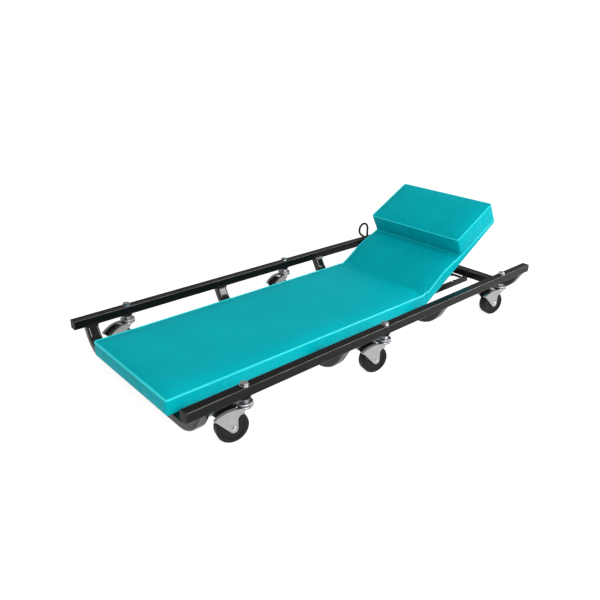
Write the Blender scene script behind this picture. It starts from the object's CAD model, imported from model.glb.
"""Looks for the mechanics creeper: padded cover, pillow, finishes, floor, light and camera."""
import math

import bpy
from mathutils import Matrix, Vector, noise


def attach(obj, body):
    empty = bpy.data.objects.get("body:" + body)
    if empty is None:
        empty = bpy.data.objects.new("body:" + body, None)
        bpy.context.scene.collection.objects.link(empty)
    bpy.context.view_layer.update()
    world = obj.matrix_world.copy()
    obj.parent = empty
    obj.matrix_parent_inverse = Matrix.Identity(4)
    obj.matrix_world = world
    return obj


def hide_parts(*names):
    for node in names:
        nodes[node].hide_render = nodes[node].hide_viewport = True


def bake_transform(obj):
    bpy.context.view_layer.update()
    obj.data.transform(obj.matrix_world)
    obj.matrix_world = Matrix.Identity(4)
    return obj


MM = 0.001
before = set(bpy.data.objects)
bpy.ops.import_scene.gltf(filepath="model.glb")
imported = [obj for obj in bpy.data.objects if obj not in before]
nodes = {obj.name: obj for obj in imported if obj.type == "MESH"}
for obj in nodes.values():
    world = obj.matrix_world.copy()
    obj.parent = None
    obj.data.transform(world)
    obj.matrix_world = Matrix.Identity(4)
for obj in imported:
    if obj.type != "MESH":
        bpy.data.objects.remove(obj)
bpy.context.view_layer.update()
scene = bpy.context.scene

# Sizes in millimetres, as in the CAD
HINGE_X, HINGE_Z = 190.0, 44.0
TILT = math.radians(30.7)
TAPER = math.radians(3.1)
PAD_FOOT, PAD_HEAD = -498.0, 499.0
PAD_HALF = 137.5
PAD_LOW, PAD_TOP = 47.0, 78.0
HEAD_TOP_X, HEAD_TOP_Z = 206.0, 75.1
PILLOW_U = (143.0, 292.0)
PILLOW_H = 49.0
PILLOW_HALF = 139.0
CROSS_TUBES = (-473.0, -158.0, 155.0, 478.0)
RAIL_INNER, RAIL_LOW = 199.0, 80.0
CROSS_BAR_X, CROSS_BAR_HALF = 357.5, 9.5

# How far the head section swells below the pillow, and how far the crease draws the sides in
SWELL = 5.5
PINCH = 2.2


def tilted(x, z):
    """A point drawn flat on the head section, turned to where the headrest stands, in the X-Z plane."""
    c, s = math.cos(TILT), math.sin(TILT)
    dx, dz = x - HINGE_X, z - HINGE_Z
    return HINGE_X + dx * c - dz * s, HINGE_Z + dx * s + dz * c


# ---------------------------------------------------------------- materials

def new_material(name):
    mat = bpy.data.materials.new(name)
    mat.use_nodes = True
    tree = mat.node_tree
    bsdf = tree.nodes["Principled BSDF"]
    return mat, tree, bsdf


def link(tree, a, b):
    tree.links.new(a, b)


def coords(tree, scale=(1, 1, 1), turn=(0, 0, 0)):
    tc = tree.nodes.new("ShaderNodeTexCoord")
    mp = tree.nodes.new("ShaderNodeMapping")
    mp.inputs["Scale"].default_value = scale
    mp.inputs["Rotation"].default_value = turn
    link(tree, tc.outputs["Object"], mp.inputs["Vector"])
    return mp.outputs["Vector"]


def noise_tex(tree, vector, scale, detail=4.0, rough=0.5):
    n = tree.nodes.new("ShaderNodeTexNoise")
    n.inputs["Scale"].default_value = scale
    n.inputs["Detail"].default_value = detail
    n.inputs["Roughness"].default_value = rough
    link(tree, vector, n.inputs["Vector"])
    return n.outputs["Fac"]


def ramp(tree, fac, stops):
    r = tree.nodes.new("ShaderNodeValToRGB")
    r.color_ramp.elements[0].position = stops[0][0]
    r.color_ramp.elements[0].color = (*stops[0][1], 1)
    r.color_ramp.elements[1].position = stops[1][0]
    r.color_ramp.elements[1].color = (*stops[1][1], 1)
    for pos, col in stops[2:]:
        e = r.color_ramp.elements.new(pos)
        e.color = (*col, 1)
    link(tree, fac, r.inputs["Fac"])
    return r.outputs["Color"]


def span(tree, fac, low, high, start=0.0, end=1.0):
    m = tree.nodes.new("ShaderNodeMapRange")
    m.inputs["From Min"].default_value = start
    m.inputs["From Max"].default_value = end
    m.inputs["To Min"].default_value = low
    m.inputs["To Max"].default_value = high
    link(tree, fac, m.inputs["Value"])
    return m.outputs["Result"]


def bump(tree, height, distance, strength=1.0, under=None):
    b = tree.nodes.new("ShaderNodeBump")
    b.inputs["Strength"].default_value = strength
    b.inputs["Distance"].default_value = distance
    link(tree, height, b.inputs["Height"])
    if under is not None:
        link(tree, under, b.inputs["Normal"])
    return b.outputs["Normal"]


def maths(tree, kind, a, b=None, value=None):
    m = tree.nodes.new("ShaderNodeMath")
    m.operation = kind
    link(tree, a, m.inputs[0])
    if b is not None:
        link(tree, b, m.inputs[1])
    elif value is not None:
        m.inputs[1].default_value = value
    return m.outputs["Value"]


def vinyl_material(name, deep, light, gloss=0.42, shine=0.05):
    mat, t, b = new_material(name)
    at = coords(t)
    wide = noise_tex(t, at, 9.0, 3.0)
    fine = noise_tex(t, at, 260.0, 6.0, 0.6)
    wide_part = maths(t, "MULTIPLY", wide, value=0.8)
    fine_part = maths(t, "MULTIPLY", fine, value=0.2)
    blend_fac = maths(t, "ADD", wide_part, fine_part)
    link(t, ramp(t, blend_fac, [(0.3, deep), (0.72, light)]), b.inputs["Base Color"])
    cells = t.nodes.new("ShaderNodeTexVoronoi")
    cells.feature = "DISTANCE_TO_EDGE"
    cells.inputs["Scale"].default_value = 620.0
    link(t, at, cells.inputs["Vector"])
    grain = span(t, cells.outputs["Distance"], 0.0, 1.0, 0.0, 0.35)
    n1 = bump(t, grain, 0.00012, 0.55)
    n2 = bump(t, noise_tex(t, at, 34.0, 3.0), 0.0011, 0.5, n1)
    link(t, n2, b.inputs["Normal"])
    link(t, span(t, fine, gloss - 0.06, gloss + 0.1), b.inputs["Roughness"])
    b.inputs["Specular IOR Level"].default_value = shine
    return mat


def edge_mask(tree):
    """1 on the rounded corners of a tube that lies along an axis, 0 on its flat faces, in patches."""
    tc = tree.nodes.new("ShaderNodeTexCoord")
    parts = tree.nodes.new("ShaderNodeSeparateXYZ")
    link(tree, tc.outputs["Normal"], parts.inputs["Vector"])
    sizes = [maths(tree, "ABSOLUTE", parts.outputs[axis]) for axis in "XYZ"]
    largest = maths(tree, "MAXIMUM", maths(tree, "MAXIMUM", sizes[0], sizes[1]), sizes[2])
    corner = span(tree, largest, 1.0, 0.0, 0.78, 0.97)
    patches = span(tree, noise_tex(tree, coords(tree, (14, 60, 60)), 1.0, 4.0), 0.35, 1.0, 0.35, 0.6)
    return maths(tree, "MULTIPLY", corner, patches)


def paint_material(name, dark, rough, peel, shine=0.3, worn=None):
    mat, t, b = new_material(name)
    at = coords(t)
    dust = noise_tex(t, at, 38.0, 6.0, 0.62)
    speck = noise_tex(t, at, 900.0, 2.0, 0.5)
    shade = maths(t, "ADD", maths(t, "MULTIPLY", dust, value=0.7), maths(t, "MULTIPLY", speck, value=0.3))
    low = tuple(c * 0.72 for c in dark)
    high = tuple(c * 1.9 for c in dark)
    colour = ramp(t, shade, [(0.34, low), (0.66, dark), (0.8, high)])
    if worn:
        # The coat is rubbed thin and shiny along the corners.
        mix = t.nodes.new("ShaderNodeMix")
        mix.data_type = "RGBA"
        link(t, edge_mask(t), mix.inputs["Factor"])
        link(t, colour, mix.inputs["A"])
        mix.inputs["B"].default_value = (*worn, 1)
        colour = mix.outputs["Result"]
    link(t, colour, b.inputs["Base Color"])
    n1 = bump(t, noise_tex(t, at, 420.0, 2.0), peel, 0.6)
    link(t, n1, b.inputs["Normal"])
    link(t, span(t, dust, rough - 0.07, rough + 0.12), b.inputs["Roughness"])
    b.inputs["Specular IOR Level"].default_value = shine
    return mat


def metal_material(name, tint, rough, lines, scale=(60, 60, 900)):
    mat, t, b = new_material(name)
    at = coords(t)
    streak = noise_tex(t, coords(t, scale), 1.0, 4.0, 0.6)
    cloud = noise_tex(t, at, 55.0, 5.0, 0.55)
    low = tuple(c * 0.8 for c in tint)
    link(t, ramp(t, cloud, [(0.25, low), (0.7, tint)]), b.inputs["Base Color"])
    link(t, bump(t, streak, lines, 0.35), b.inputs["Normal"])
    mix = maths(t, "ADD", maths(t, "MULTIPLY", streak, value=0.5), maths(t, "MULTIPLY", cloud, value=0.5))
    link(t, span(t, mix, rough - 0.08, rough + 0.14, 0.25, 0.75), b.inputs["Roughness"])
    b.inputs["Metallic"].default_value = 1.0
    return mat


def rubber_material(name, dark, rough):
    mat, t, b = new_material(name)
    at = coords(t)
    dust = noise_tex(t, at, 90.0, 7.0, 0.65)
    pores = noise_tex(t, at, 1500.0, 3.0, 0.6)
    low = tuple(c * 0.7 for c in dark)
    high = tuple(c * 2.1 for c in dark)
    link(t, ramp(t, dust, [(0.3, low), (0.55, dark), (0.78, high)]), b.inputs["Base Color"])
    n1 = bump(t, pores, 0.0001, 0.6)
    link(t, bump(t, dust, 0.0003, 0.25, n1), b.inputs["Normal"])
    link(t, span(t, dust, rough - 0.1, rough + 0.14, 0.25, 0.75), b.inputs["Roughness"])
    b.inputs["Specular IOR Level"].default_value = 0.22
    return mat


def plywood_material(name, tilt):
    mat, t, b = new_material(name)
    # Rotating a coordinate about Y by the tilt brings the tilted board's layers level.
    face = coords(t, (9, 70, 70), (0, tilt, 0))
    grain = noise_tex(t, face, 1.0, 7.0, 0.62)
    waves = t.nodes.new("ShaderNodeTexWave")
    waves.wave_type = "BANDS"
    waves.bands_direction = "Z"
    waves.inputs["Scale"].default_value = 90.0
    waves.inputs["Distortion"].default_value = 0.6
    waves.inputs["Detail"].default_value = 2.0
    link(t, coords(t, (1, 1, 1), (0, tilt, 0)), waves.inputs["Vector"])
    grain_part = maths(t, "MULTIPLY", grain, value=0.75)
    layer_part = maths(t, "MULTIPLY", waves.outputs["Fac"], value=0.25)
    both = maths(t, "ADD", grain_part, layer_part)
    browns = [(0.28, (0.30, 0.18, 0.09)), (0.5, (0.52, 0.36, 0.2)), (0.72, (0.66, 0.5, 0.32))]
    link(t, ramp(t, both, browns), b.inputs["Base Color"])
    link(t, bump(t, grain, 0.0006, 0.5), b.inputs["Normal"])
    link(t, span(t, grain, 0.62, 0.82), b.inputs["Roughness"])
    b.inputs["Specular IOR Level"].default_value = 0.25
    return mat


def floor_material():
    mat, t, b = new_material("studio_floor")
    at = coords(t)
    link(t, ramp(t, noise_tex(t, at, 1.4, 3.0), [(0.3, (0.49, 0.49, 0.49)), (0.7, (0.52, 0.52, 0.52))]),
         b.inputs["Base Color"])
    b.inputs["Roughness"].default_value = 0.85
    b.inputs["Specular IOR Level"].default_value = 0.05
    b.inputs["Emission Color"].default_value = (1, 1, 1, 1)
    # The floor shows white, but throws less of its light back up.
    path = t.nodes.new("ShaderNodeLightPath")
    link(t, span(t, path.outputs["Is Camera Ray"], 0.5, 0.86), b.inputs["Emission Strength"])
    return mat


VINYL = vinyl_material("vinyl_teal", (0.0, 0.465, 0.53), (0.0, 0.53, 0.60))
VINYL_EDGE = vinyl_material("vinyl_piping", (0.0, 0.80, 0.86), (0.03, 0.92, 0.96), 0.22, 0.5)
PAINT = paint_material("powder_coat", (0.0062, 0.0062, 0.0065), 0.2, 0.00006, 0.2,
                       (0.24, 0.215, 0.195))
GLOSS_PAINT = paint_material("gloss_paint", (0.0055, 0.0055, 0.0058), 0.1, 0.00003, 0.5)
PLASTIC = paint_material("moulded_plastic", (0.012, 0.012, 0.012), 0.5, 0.00016)
ZINC = metal_material("zinc_plate", (0.60, 0.60, 0.62), 0.3, 0.00004)
CHROME = metal_material("fork_chrome", (0.55, 0.55, 0.56), 0.24, 0.00003)
STEEL = metal_material("bright_steel", (0.72, 0.72, 0.73), 0.18, 0.00002)
RUBBER = rubber_material("wheel_rubber", (0.014, 0.014, 0.0145), 0.48)
PLY_BODY = plywood_material("plywood_body", 0.0)
PLY_HEAD = plywood_material("plywood_head", TILT)

FINISH = [
    ("rail_end_caps", PLASTIC),
    ("caster_spacers", PLASTIC),
    ("prop_retainers", PLASTIC),
    ("_bush", PLASTIC),
    ("_wheel", RUBBER),
    ("_fork", CHROME),
    ("_axle", STEEL),
    ("_stem", ZINC),
    ("caster_cap_nuts", STEEL),
    ("caster_washers", STEEL),
    ("caster_jam_nuts", ZINC),
    ("caster_balls", STEEL),
    ("main_board_screws", ZINC),
    ("hinge_", ZINC),
    ("prop_bracket", ZINC),
    ("main_board", PLY_BODY),
    ("head_board", PLY_HEAD),
    ("cross_tube_", GLOSS_PAINT),
    ("headrest_cross_bar", PAINT),
    ("_rack", PAINT),
    ("prop_bail", GLOSS_PAINT),
    ("_rail", PAINT),
]


def dress_cad():
    for name, obj in nodes.items():
        for key, mat in FINISH:
            if key in name:
                break
        else:
            mat = VINYL
        for i in range(len(obj.material_slots)):
            obj.material_slots[i].link = "OBJECT"
            obj.material_slots[i].material = mat


# ---------------------------------------------------------------- soft goods

def lattice(stops, width_lines, height_lines):
    """A closed box made of grids: its surface points as (i, j, k), and the faces between them."""
    ni, nj, nk = len(stops), len(width_lines), len(height_lines)
    index, keys, faces = {}, [], []

    def at(i, j, k):
        key = (i, j, k)
        if key not in index:
            index[key] = len(keys)
            keys.append(key)
        return index[key]

    for i in range(ni - 1):
        for j in range(nj - 1):
            top, low = nk - 1, 0
            faces.append((at(i, j, top), at(i + 1, j, top), at(i + 1, j + 1, top), at(i, j + 1, top)))
            faces.append((at(i, j, low), at(i, j + 1, low), at(i + 1, j + 1, low), at(i + 1, j, low)))
        for k in range(nk - 1):
            near, far = 0, nj - 1
            faces.append((at(i, near, k), at(i + 1, near, k), at(i + 1, near, k + 1), at(i, near, k + 1)))
            faces.append((at(i, far, k), at(i, far, k + 1), at(i + 1, far, k + 1), at(i + 1, far, k)))
    for j in range(nj - 1):
        for k in range(nk - 1):
            first, last = 0, ni - 1
            faces.append((at(first, j, k), at(first, j, k + 1),
                          at(first, j + 1, k + 1), at(first, j + 1, k)))
            faces.append((at(last, j, k), at(last, j + 1, k),
                          at(last, j + 1, k + 1), at(last, j, k + 1)))
    return keys, faces


def lines(start, end, step, edge):
    """Positions from start to end about step apart, closer together near both ends, for a rounded edge."""
    inner = [start, start + edge * 0.3, start + edge * 0.65, start + edge]
    outer = [end - edge, end - edge * 0.65, end - edge * 0.3, end]
    count = max(2, round((end - start - 2 * edge) / step))
    middle = [start + edge + (end - start - 2 * edge) * n / count for n in range(1, count)]
    return inner + middle + outer


def rounded(p, low, high, radius):
    """Moves a point of a box's surface onto the box with rounded edges."""
    core = [min(max(v, a + radius), b - radius) for v, a, b in zip(p, low, high)]
    away = Vector([v - c for v, c in zip(p, core)])
    if away.length < 1e-9:
        return Vector(p)
    return Vector(core) + away.normalized() * radius


def smooth_mesh(name, points, faces, mat):
    mesh = bpy.data.meshes.new(name)
    mesh.from_pydata([tuple(p) for p in points], [], faces)
    mesh.validate()
    for poly in mesh.polygons:
        poly.use_smooth = True
    obj = bpy.data.objects.new(name, mesh)
    scene.collection.objects.link(obj)
    mesh.materials.append(mat)
    return obj


def inflate(obj, pinned, cap, pressure=4.0, slack=0.0, frames=20):
    """Blows the closed mesh up a little as cloth. Pinned points are held, and none moves beyond cap."""
    start = [v.co.copy() for v in obj.data.vertices]
    held = obj.vertex_groups.new(name="held")
    for weight in sorted(set(pinned)):
        if weight > 0:
            held.add([i for i, w in enumerate(pinned) if w == weight], weight, "REPLACE")
    cloth = obj.modifiers.new("cloth", "CLOTH")
    s = cloth.settings
    s.quality = 6
    s.mass = 0.25
    s.tension_stiffness = 25
    s.compression_stiffness = 20
    s.shear_stiffness = 12
    s.bending_stiffness = 1.2
    s.air_damping = 3
    s.use_pressure = True
    s.uniform_pressure_force = pressure
    s.vertex_group_mass = "held"
    s.pin_stiffness = 1.0
    s.shrink_min = -slack
    s.effector_weights.gravity = 0.0
    cloth.collision_settings.use_collision = False
    cloth.point_cache.frame_start = 1
    cloth.point_cache.frame_end = frames
    for f in range(1, frames + 1):
        scene.frame_set(f)
    dg = bpy.context.evaluated_depsgraph_get()
    moved = [v.co.copy() for v in obj.evaluated_get(dg).data.vertices]
    obj.modifiers.remove(cloth)
    obj.vertex_groups.remove(held)
    scene.frame_set(1)
    for v, a, b in zip(obj.data.vertices, start, moved):
        d = b - a
        if d.length > 1e-9:
            d = d.normalized() * cap * math.tanh(d.length / cap)
        v.co = a + d


# The pad's outline seen from the side: where its underside and its top run, foot to head.
def bezier(a, b, c, t):
    return tuple((1 - t) ** 2 * p + 2 * t * (1 - t) * q + t * t * r for p, q, r in zip(a, b, c))


def pad_sides():
    slope = TILT - TAPER
    crease_top = tilted(HEAD_TOP_X, HEAD_TOP_Z)
    top_corner = (crease_top[0] - (crease_top[1] - PAD_TOP) / math.tan(slope), PAD_TOP)
    low_start = tilted(194.5, PAD_LOW)
    low_corner = (low_start[0] - (low_start[1] - PAD_LOW) / math.tan(TILT), PAD_LOW)
    reach, low_reach = 15.0, 6.0
    top_a = (top_corner[0] - reach, PAD_TOP)
    top_b = (top_corner[0] + reach * math.cos(slope), PAD_TOP + reach * math.sin(slope))
    low_a = (low_corner[0] - low_reach, PAD_LOW)
    low_b = (low_corner[0] + low_reach * math.cos(TILT), PAD_LOW + low_reach * math.sin(TILT))
    end_z = HEAD_TOP_Z - (PAD_HEAD - HEAD_TOP_X) * math.tan(TAPER)
    top_end, low_end = tilted(PAD_HEAD, end_z), tilted(PAD_HEAD, PAD_LOW)
    stations = []
    edge = 5.0
    # The fine rows that lines() adds are wanted only at the pad's two ends, not beside the crease.
    for x in lines(PAD_FOOT, top_a[0], 6.0, edge)[:-3]:
        share = (x - PAD_FOOT) / (top_a[0] - PAD_FOOT)
        stations.append(((PAD_FOOT + share * (low_a[0] - PAD_FOOT), PAD_LOW), (x, PAD_TOP)))
    bend = 8
    for n in range(bend + 1):
        t = n / bend
        stations.append((bezier(low_a, low_corner, low_b, t), bezier(top_a, top_corner, top_b, t)))
    length = math.dist(top_b, top_end)
    for d in lines(0.0, length, 6.0, edge)[3:]:
        share = d / length
        # The foam stands highest halfway between the crease and the pillow.
        swell = SWELL * math.sin(math.pi * min(1.0, d / (PILLOW_U[0] - reach))) ** 1.3
        top = tuple(a + (b - a) * share for a, b in zip(top_b, top_end))
        stations.append((tuple(a + (b - a) * share for a, b in zip(low_b, low_end)),
                         (top[0] - swell * math.sin(slope), top[1] + swell * math.cos(slope))))
    return stations


STATIONS = pad_sides()
STOPS = [0.0]
for before, after in zip(STATIONS, STATIONS[1:]):
    STOPS.append(STOPS[-1] + math.dist(before[1], after[1]))
CREASE = min(range(len(STATIONS)), key=lambda i: abs(STATIONS[i][1][0] - 186.0))


def station_at(distance):
    """Underside and top points at a distance along the top of the pad, from the foot end."""
    distance = min(max(distance, 0.0), STOPS[-1])
    for i in range(len(STOPS) - 1):
        if distance <= STOPS[i + 1] or i == len(STOPS) - 2:
            t = (distance - STOPS[i]) / (STOPS[i + 1] - STOPS[i])
            low = tuple(a + (b - a) * t for a, b in zip(STATIONS[i][0], STATIONS[i + 1][0]))
            top = tuple(a + (b - a) * t for a, b in zip(STATIONS[i][1], STATIONS[i + 1][1]))
            return low, top
    return STATIONS[-1]


PILLOW_FOOT = STOPS[CREASE] + PILLOW_U[0]


def pinched(along, y):
    """The crease draws the sides of the cover in a little."""
    draw = PINCH * math.exp(-((along - STOPS[CREASE]) / 7.0) ** 2)
    return y - math.copysign(draw, y) * (abs(y) / PAD_HALF) ** 6


def pad_cover():
    """One cover over the body and head cushions, wrapped under the edges of both boards."""
    edge, radius = 5.0, 4.0
    width = lines(-PAD_HALF, PAD_HALF, 6.0, edge)
    parts = [0.0, 0.05, 0.12, 0.3, 0.5, 0.7, 0.88, 0.95, 1.0]
    keys, faces = lattice(STOPS, width, parts)
    wrap = 20.0
    points, pins, soft = [], [], []
    for i, j, k in keys:
        low, top = STATIONS[i]
        thick = math.dist(low, top)
        along, y, h = STOPS[i], width[j], parts[k] * thick
        at_top, at_low = k == len(parts) - 1, k == 0
        edge_r = min(radius, thick * 0.3)
        q = rounded((along, y, h), (0.0, -PAD_HALF, 0.0), (STOPS[-1], PAD_HALF, thick), edge_r)
        inside = min(PAD_HALF - abs(y), along, STOPS[-1] - along)
        if at_low and inside > wrap:
            q.z += 4.0 * min(1.0, (inside - wrap) / 4.0)
        elif at_low:
            q.z -= 0.6 * min(1.0, inside / 6.0)
        low, top = station_at(q.x)
        up = q.z / math.dist(low, top)
        over = Vector((low[0] + (top[0] - low[0]) * up, q.y, low[1] + (top[1] - low[1]) * up))
        beyond = q.x - min(max(q.x, 0.0), STOPS[-1])
        over.x += beyond
        over.y += (pinched(along, y) - y) * up
        points.append(over * MM)
        # The seams, the underside and what the pillow sits on are held; the rest may swell.
        near_seam = at_top and inside < 3.0
        under_pillow = at_top and along > PILLOW_FOOT - 4 and along < STOPS[-1] - 2
        fold = at_top and abs(along - STOPS[CREASE]) < 5.0
        low_side = k <= 2
        if low_side or near_seam or under_pillow:
            pins.append(1.0)
        elif fold:
            pins.append(0.6)
        else:
            pins.append(0.0)
        soft.append(at_top)
    cover = smooth_mesh("pad_cover", points, faces, VINYL)
    inflate(cover, pins, 0.0032, 5.0, 0.006)
    for v, key, top_point in zip(cover.data.vertices, keys, soft):
        i, j, k = key
        along, y = STOPS[i], width[j]
        inside = min(PAD_HALF - abs(y), along, STOPS[-1] - along)
        room = min(1.0, max(0.0, inside / 40.0))
        if not top_point:
            continue
        if along < PILLOW_FOOT - 4:
            # A shallow crown, and slow waves of the foam under the vinyl
            crown = 1.6 * room * (2 - room)
            wave = noise.noise(Vector((along * 0.011, y * 0.014, 3.1))) * 0.9 * room
            near_crease = math.exp(-((along - STOPS[CREASE]) / 16.0) ** 2)
            v.co.z += (crown * (1 - near_crease) + wave) * MM
            # Short gathers run out of both ends of the crease
            side = max(0.0, 1 - (PAD_HALF - abs(y)) / 52.0)
            ripple = math.sin((along - STOPS[CREASE]) * 0.32 + 0.6)
            gather = ripple * near_crease * side * min(1.0, inside / 6.0)
            v.co.z += 2.4 * gather * MM
            v.co.z -= 1.8 * math.exp(-((along - STOPS[CREASE]) / 5.0) ** 2) * room * MM
    sub = cover.modifiers.new("smooth", "SUBSURF")
    sub.levels = sub.render_levels = 1
    return cover


def tube_mesh(name, path, radius, sides, mat, closed=True):
    """A bead of round section along a path of points in millimetres."""
    count = len(path)
    points, faces = [], []
    for i in range(count):
        before = path[(i - 1) % count] if closed or i else path[i]
        after = path[(i + 1) % count] if closed or i < count - 1 else path[i]
        run = (after - before).normalized()
        up = Vector((0, 0, 1)) if abs(run.z) < 0.95 else Vector((1, 0, 0))
        side = run.cross(up).normalized()
        lift = side.cross(run).normalized()
        r = radius if not callable(radius) else radius(i / count)
        for s in range(sides):
            a = 2 * math.pi * s / sides
            points.append((path[i] + side * math.cos(a) * r + lift * math.sin(a) * r) * MM)
    for i in range(count if closed else count - 1):
        for s in range(sides):
            a, b = i * sides + s, i * sides + (s + 1) % sides
            c, d = ((i + 1) % count) * sides + (s + 1) % sides, ((i + 1) % count) * sides + s
            faces.append((a, b, c, d))
    if not closed:
        faces.append(tuple(reversed(range(sides))))
        faces.append(tuple((count - 1) * sides + s for s in range(sides)))
    return smooth_mesh(name, points, faces, mat)


def pad_point(along, y, drop=0.0):
    low, top = station_at(along)
    thick = math.dist(low, top)
    up = (thick - drop) / thick
    return Vector((low[0] + (top[0] - low[0]) * up, pinched(along, y), low[1] + (top[1] - low[1]) * up))


def round_loop(length, half, corner, step):
    """Points of a rectangle from 0 to length and -half to half with round corners, in order."""
    out = []
    count = round((length - 2 * corner) / step)
    for n in range(count + 1):
        out.append((corner + (length - 2 * corner) * n / count, -half))
    for n in range(1, 6):
        a = -math.pi / 2 + math.pi / 2 * n / 6
        out.append((length - corner + corner * math.cos(a), -half + corner + corner * math.sin(a)))
    across = round((2 * half - 2 * corner) / step)
    for n in range(across + 1):
        out.append((length, -half + corner + (2 * half - 2 * corner) * n / across))
    for n in range(1, 6):
        a = math.pi / 2 * n / 6
        out.append((length - corner + corner * math.cos(a), half - corner + corner * math.sin(a)))
    for n in range(count + 1):
        out.append((length - corner - (length - 2 * corner) * n / count, half))
    for n in range(1, 6):
        a = math.pi / 2 + math.pi / 2 * n / 6
        out.append((corner + corner * math.cos(a), half - corner + corner * math.sin(a)))
    for n in range(across + 1):
        out.append((0.0, half - corner - (2 * half - 2 * corner) * n / across))
    for n in range(1, 6):
        a = math.pi + math.pi / 2 * n / 6
        out.append((corner + corner * math.cos(a), -half + corner + corner * math.sin(a)))
    return out


def pad_piping():
    inset = 1.3
    loop = round_loop(STOPS[-1] - 2 * inset, PAD_HALF - inset, 4.0, 4.0)
    path = [pad_point(inset + along, y, 1.4) for along, y in loop]
    return tube_mesh("pad_piping", path, 2.2, 10, VINYL_EDGE)


def pillow_frame():
    """Matrix from the pillow's own box (along, across, up, in mm) to the row frame."""
    base = tilted(HEAD_TOP_X, HEAD_TOP_Z)
    slope = TILT - TAPER
    run = Vector((math.cos(slope), 0, math.sin(slope)))
    up = Vector((-math.sin(slope), 0, math.cos(slope)))
    origin = Vector((base[0], 0, base[1])) + run * PILLOW_U[0] + up * 0.05
    m = Matrix.Identity(4)
    for row in range(3):
        m[row][0], m[row][1], m[row][2], m[row][3] = run[row], (0, 1, 0)[row], up[row], origin[row]
    return m


def pillow():
    length = PILLOW_U[1] - PILLOW_U[0]
    edge, radius = 6.0, 5.0
    along = lines(0.0, length, 6.0, edge)
    width = lines(-PILLOW_HALF, PILLOW_HALF, 6.0, edge)
    height = lines(0.0, PILLOW_H, 6.0, edge)
    keys, faces = lattice(along, width, height)
    place = pillow_frame()
    points, pins = [], []
    for i, j, k in keys:
        p = (along[i], width[j], height[k])
        q = rounded(p, (0.0, -PILLOW_HALF, 0.0), (length, PILLOW_HALF, PILLOW_H), radius)
        edges = sum((p[0] < 2 or p[0] > length - 2, abs(p[1]) > PILLOW_HALF - 2, p[2] > PILLOW_H - 2))
        at_low = p[2] < 4
        pins.append(1.0 if at_low or edges >= 2 else 0.0)
        sx = min(1.0, min(p[0], length - p[0]) / 45.0)
        sy = min(1.0, (PILLOW_HALF - abs(p[1])) / 60.0)
        if p[2] > PILLOW_H - 1:
            # Crowned top with shallow waves in the foam
            q.z += 2.2 * math.sqrt(max(0.0, sx * sy))
            q.z += 0.7 * noise.noise(Vector((p[0] * 0.02, p[1] * 0.016, 7.7))) * sx * sy
        rise = math.sin(math.pi * p[2] / PILLOW_H)
        if p[0] < 1:
            q.x -= (0.5 + 0.9 * noise.noise(Vector((p[1] * 0.02, p[2] * 0.03, 1.3)))) * rise * sy
        if p[0] > length - 1:
            q.x += 0.8 * rise * sy
        if abs(p[1]) > PILLOW_HALF - 1:
            q.y += math.copysign(0.8 * rise * sx, p[1])
        points.append((place @ q) * MM)
    block = smooth_mesh("head_pillow", points, faces, VINYL)
    inflate(block, pins, 0.0022, 4.0, 0.004)
    sub = block.modifiers.new("smooth", "SUBSURF")
    sub.levels = sub.render_levels = 1
    return block


def pillow_seams():
    """Thin welts along the pillow's top edges and its foot."""
    place = pillow_frame()
    length = PILLOW_U[1] - PILLOW_U[0]
    made = []
    welts = (("pillow_top_welt", PILLOW_H - 1.1, 1.5, 1.0), ("pillow_foot_welt", 0.9, 1.3, 0.2))
    for name, up, radius, inset in welts:
        loop = round_loop(length - 2 * inset, PILLOW_HALF - inset, 5.0, 4.0)
        path = [place @ Vector((inset + a, y, up)) for a, y in loop]
        made.append(tube_mesh(name, path, radius, 8, VINYL_EDGE))
    return made


# ---------------------------------------------------------------- small hard pieces

def staples():
    """Two rows of staples that hold the cover's hem under each board."""
    def staple(points, faces, at, run, out):
        side = run.cross(out).normalized()
        n = len(points)
        half_wire, half_crown, height, sunk = 0.35, 5.0, 0.45, 0.1
        for c in (0, 1):
            shrink = 1.0 if c == 0 else 0.9
            for a, b in ((-1, -1), (1, -1), (1, 1), (-1, 1)):
                corner = at + run * a * half_crown * shrink + side * b * half_wire * shrink
                points.append((corner + out * (c * height - sunk)) * MM)
        for f in ((0, 3, 2, 1), (4, 5, 6, 7), (0, 1, 5, 4), (1, 2, 6, 5), (2, 3, 7, 6), (3, 0, 4, 7)):
            faces.append(tuple(n + v for v in f))

    down = Vector((0, 0, -1))
    pitch, hem = 27.0, PAD_LOW - 0.65
    across = [-4 * pitch + pitch * n for n in range(9)]
    pts, fcs = [], []
    for side in (-1, 1):
        for n in range(25):
            x = -478.0 + pitch * n
            if min(abs(x - tube) for tube in CROSS_TUBES) > 17:
                staple(pts, fcs, Vector((x, side * 122.0, hem)), Vector((1, 0, 0)), down)
    for y in across:
        staple(pts, fcs, Vector((-486.0, y, hem)), Vector((0, 1, 0)), down)
    body = smooth_mesh("hem_staples_body", pts, fcs, STEEL)
    run = Vector((math.cos(TILT), 0, math.sin(TILT)))
    out = Vector((math.sin(TILT), 0, -math.cos(TILT)))
    pts, fcs = [], []
    bracket_x = 300.0
    for side in (-1, 1):
        for n in range(10):
            x = 222.0 + pitch * n
            px, pz = tilted(x, hem)
            if abs(x - bracket_x) > 22:
                staple(pts, fcs, Vector((px, side * 124.0, pz)), run, out)
    px, pz = tilted(486.0, hem)
    for y in across:
        staple(pts, fcs, Vector((px, y, pz)), Vector((0, 1, 0)), out)
    head = smooth_mesh("hem_staples_head", pts, fcs, STEEL)
    for obj in (body, head):
        obj.data.shade_flat()
    return body, head


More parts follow.
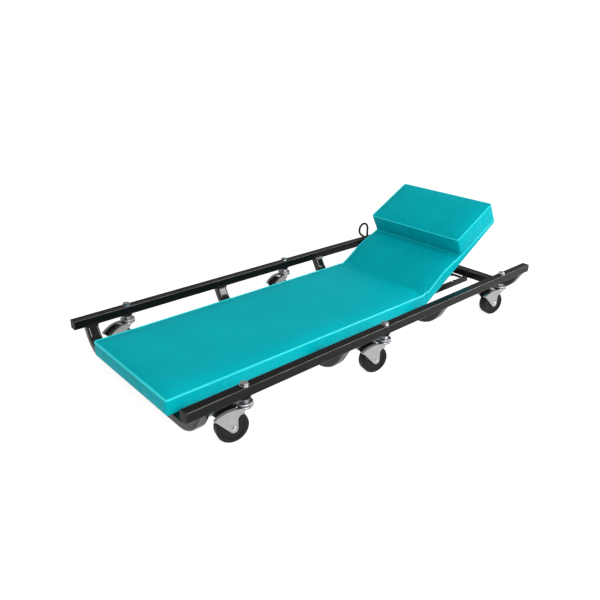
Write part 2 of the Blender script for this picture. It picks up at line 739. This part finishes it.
def weld_beads():
    """Rippled weld beads where the cross tubes and the cross bar meet the rails."""
    paths = []
    for n, x in enumerate(CROSS_TUBES):
        for side, hand in ((-1, "left"), (1, "right")):
            path = []
            for s in range(29):
                t = s / 28
                ripple = 0.25 * math.sin(t * 70)
                path.append(Vector((x - 13.5 + 27 * t, side * (RAIL_INNER - 0.6 + ripple), RAIL_LOW + 0.4)))
            paths.append((f"weld_tube_{n}_{hand}", path, 1.5))
    for side, hand in ((-1, "left"), (1, "right")):
        for edge, end in ((-1, "foot"), (1, "head")):
            x, y = CROSS_BAR_X + edge * CROSS_BAR_HALF, side * (RAIL_INNER - 0.3)
            path = [Vector((x, y, RAIL_LOW + 1.5 + 16.5 * s / 18)) for s in range(19)]
            paths.append((f"weld_bar_{hand}_{end}", path, 1.3))
    beads = []
    for name, path, thick in paths:
        beads.append(tube_mesh(name, path, lambda t, r=thick: r * (1 + 0.16 * math.sin(t * 60)), 8,
                               PAINT, closed=False))
    return beads


# ---------------------------------------------------------------- stage, light, camera

def stage():
    mesh = bpy.data.meshes.new("studio_floor")
    half = 14.0
    corners = [(-half, -half, 0), (half, -half, 0), (half, half, 0), (-half, half, 0)]
    mesh.from_pydata(corners, [], [(0, 1, 2, 3)])
    floor = bpy.data.objects.new("studio_floor", mesh)
    scene.collection.objects.link(floor)
    mesh.materials.append(floor_material())
    world = bpy.data.worlds.new("studio")
    scene.world = world
    world.use_nodes = True
    tree = world.node_tree
    soft = tree.nodes["Background"]
    soft.inputs["Color"].default_value = (1.0, 1.0, 1.0, 1)
    soft.inputs["Strength"].default_value = 0.3
    # What shows beyond the floor is a white wall.
    wall = tree.nodes.new("ShaderNodeBackground")
    wall.inputs["Color"].default_value = (1.0, 1.0, 1.0, 1)
    wall.inputs["Strength"].default_value = 1.0
    choice = tree.nodes.new("ShaderNodeMixShader")
    path = tree.nodes.new("ShaderNodeLightPath")
    link(tree, path.outputs["Is Camera Ray"], choice.inputs["Fac"])
    link(tree, soft.outputs["Background"], choice.inputs[1])
    link(tree, wall.outputs["Background"], choice.inputs[2])
    link(tree, choice.outputs["Shader"], tree.nodes["World Output"].inputs["Surface"])


def lamp(name, place, aim, size, power):
    data = bpy.data.lights.new(name, "AREA")
    data.shape = "RECTANGLE"
    data.size, data.size_y = size
    data.energy = power
    obj = bpy.data.objects.new(name, data)
    scene.collection.objects.link(obj)
    obj.location = place
    obj.rotation_mode = "QUATERNION"
    obj.rotation_quaternion = (Vector(aim) - Vector(place)).to_track_quat("-Z", "Y")
    return obj


def camera():
    """Stands at the photograph's viewing angle. Azimuth 0 looks along +Y."""
    place = Vector((-903.1, -920.7, 640.3)) * MM
    azimuth, elevation, roll = (math.radians(a) for a in (-43.02, 21.23, 1.23))
    level = math.cos(elevation)
    back = Vector((math.sin(azimuth) * level, -math.cos(azimuth) * level, math.sin(elevation)))
    right = (-back).cross(Vector((0, 0, 1))).normalized()
    up = right.cross(-back).normalized()
    side = right * math.cos(roll) + up * math.sin(roll)
    top = up * math.cos(roll) - right * math.sin(roll)
    data = bpy.data.cameras.new("camera")
    data.sensor_width = 36.0
    data.lens = 36.61
    data.shift_x = -0.0242
    data.shift_y = -0.0472
    data.clip_start, data.clip_end = 0.05, 60.0
    obj = bpy.data.objects.new("camera", data)
    scene.collection.objects.link(obj)
    turn = Matrix((side, top, back)).transposed()
    obj.matrix_world = Matrix.Translation(place) @ turn.to_4x4()
    scene.camera = obj


# ---------------------------------------------------------------- assembly

dress_cad()

cover = pad_cover()
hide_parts("main_cushion", "head_cushion")
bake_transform(cover)

piping = pad_piping()
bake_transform(piping)

block = pillow()
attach(block, "headrest")
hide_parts("pillow")
for seam in pillow_seams():
    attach(seam, "headrest")

body_staples, head_staples = staples()
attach(body_staples, "frame")
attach(head_staples, "headrest")
for bead in weld_beads():
    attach(bead, "frame")

stage()
lamp("side_key", (-0.7, -2.7, 2.3), (0.0, 0.0, 0.05), (2.2, 1.2), 68)
lamp("edge_strip", (2.12, -1.5, 1.77), (0.0, -0.2, 0.09), (2.2, 0.4), 34)
camera()
scene.view_settings.view_transform = "Standard"
